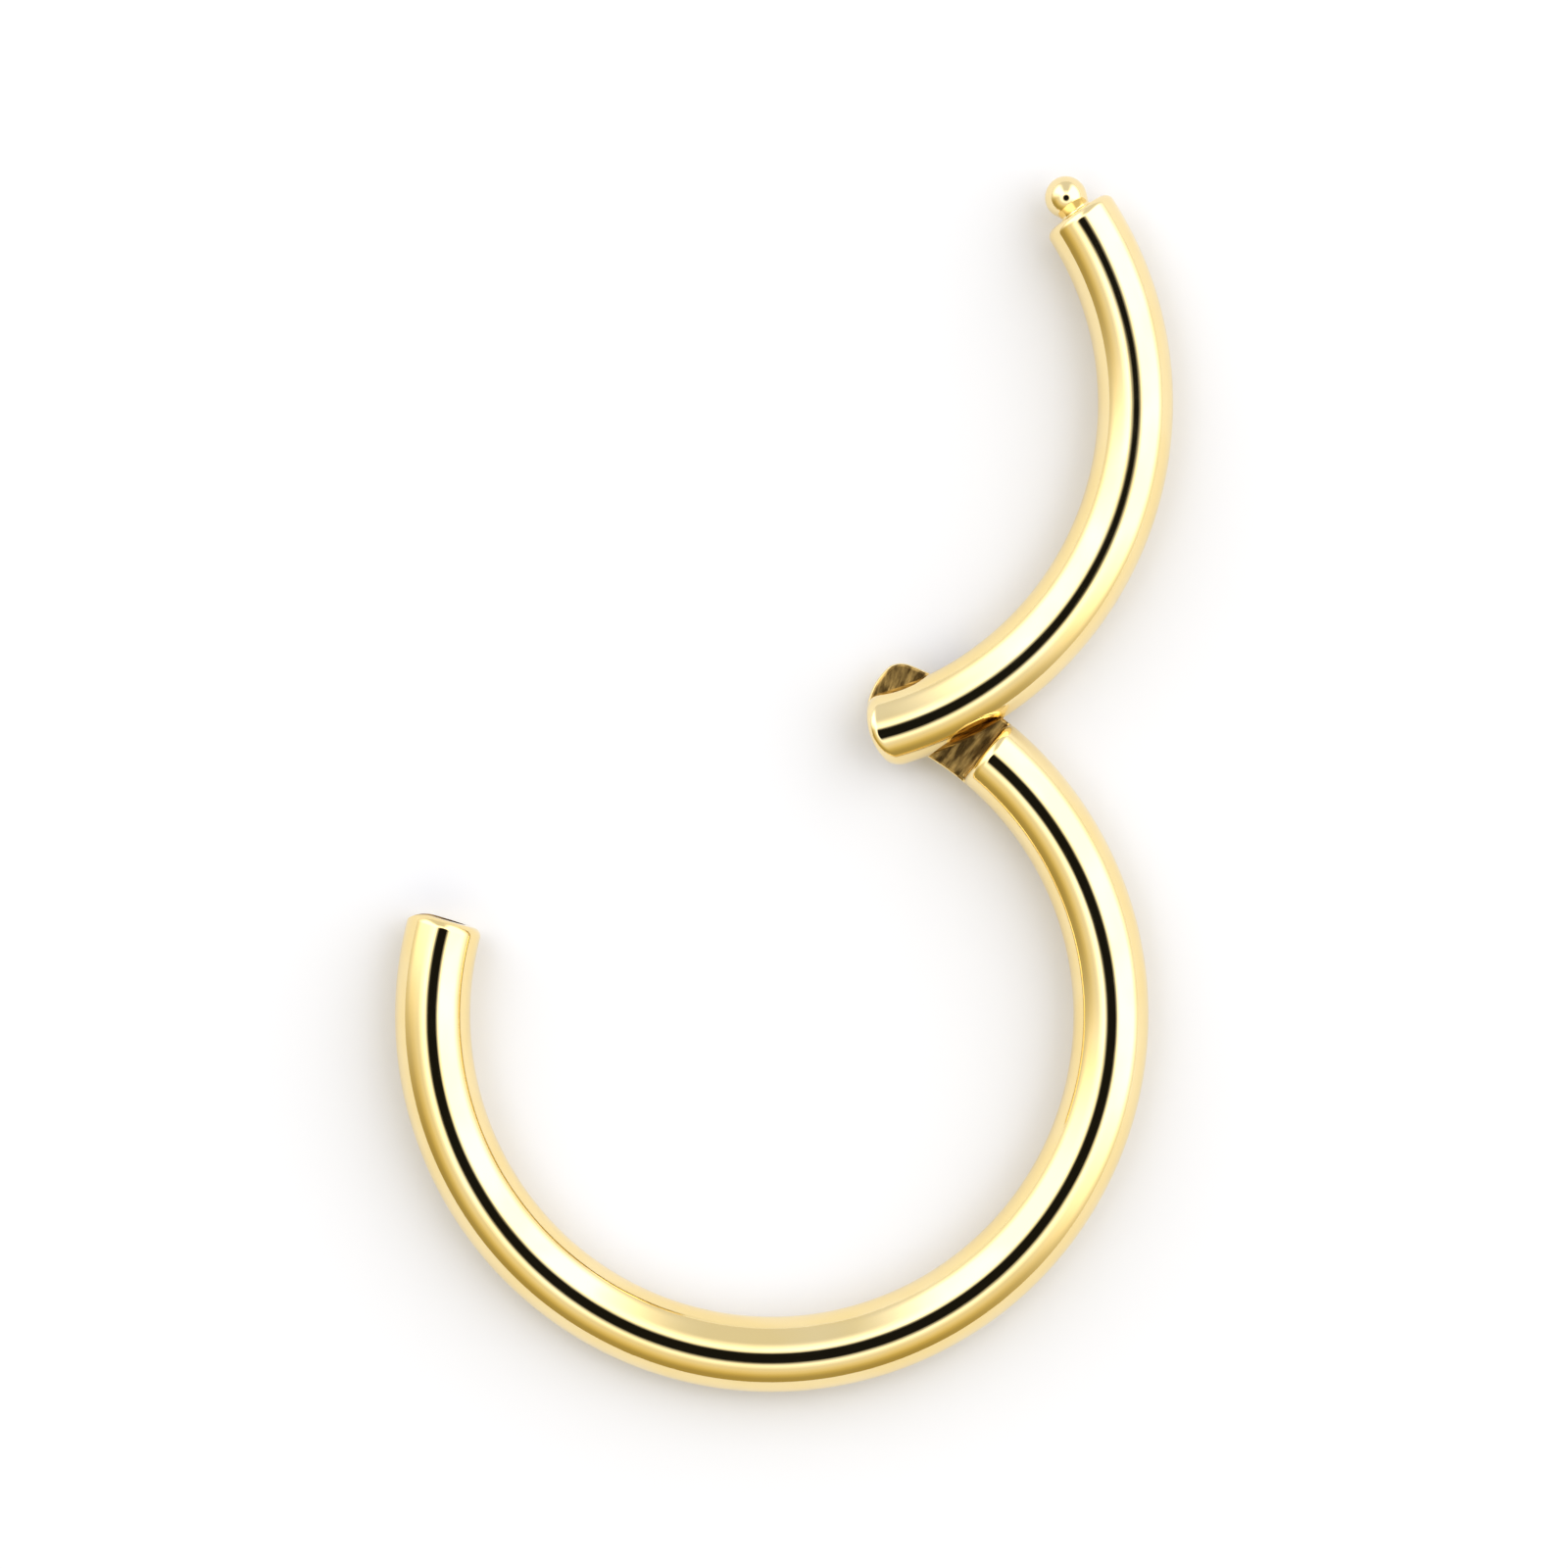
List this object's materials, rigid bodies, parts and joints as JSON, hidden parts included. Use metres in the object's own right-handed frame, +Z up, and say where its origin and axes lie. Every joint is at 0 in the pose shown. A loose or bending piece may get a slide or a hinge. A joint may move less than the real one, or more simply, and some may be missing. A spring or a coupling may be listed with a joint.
{
  "type": "nose ring",
  "caption": "Hinged segment nose ring of round polished gold-coloured wire, shown open: a hoop with a lap hinge and a gate that ends in a ball catch.",
  "frame": {"origin": "middle of the open ring's footprint, on the surface that it lies on", "axes": "the ring lies on its side: +Z up through the thickness of the wire, +Y along the open ring's length from the hoop to the gate"},
  "size_m": [0.0104, 0.0162, 0.001],
  "materials": {
    "polished_wire": "gold-plated steel, mirror polished; the lap faces of the hinge are left as cut",
    "rivet": "gold-plated steel, plain"
  },
  "bodies": {
    "hoop": {"hoop": "polished_wire"},
    "segment": {"segment": "polished_wire", "hinge_pin": "rivet"}
  },
  "joints": [
    {"name": "segment_hinge", "type": "hinge", "parent": "hoop", "child": "segment", "pos_m": [0.00193, 0.00092, 0.0005], "axis": [0, 0, 1], "range_deg": [-4.2, 129]}
  ]
}
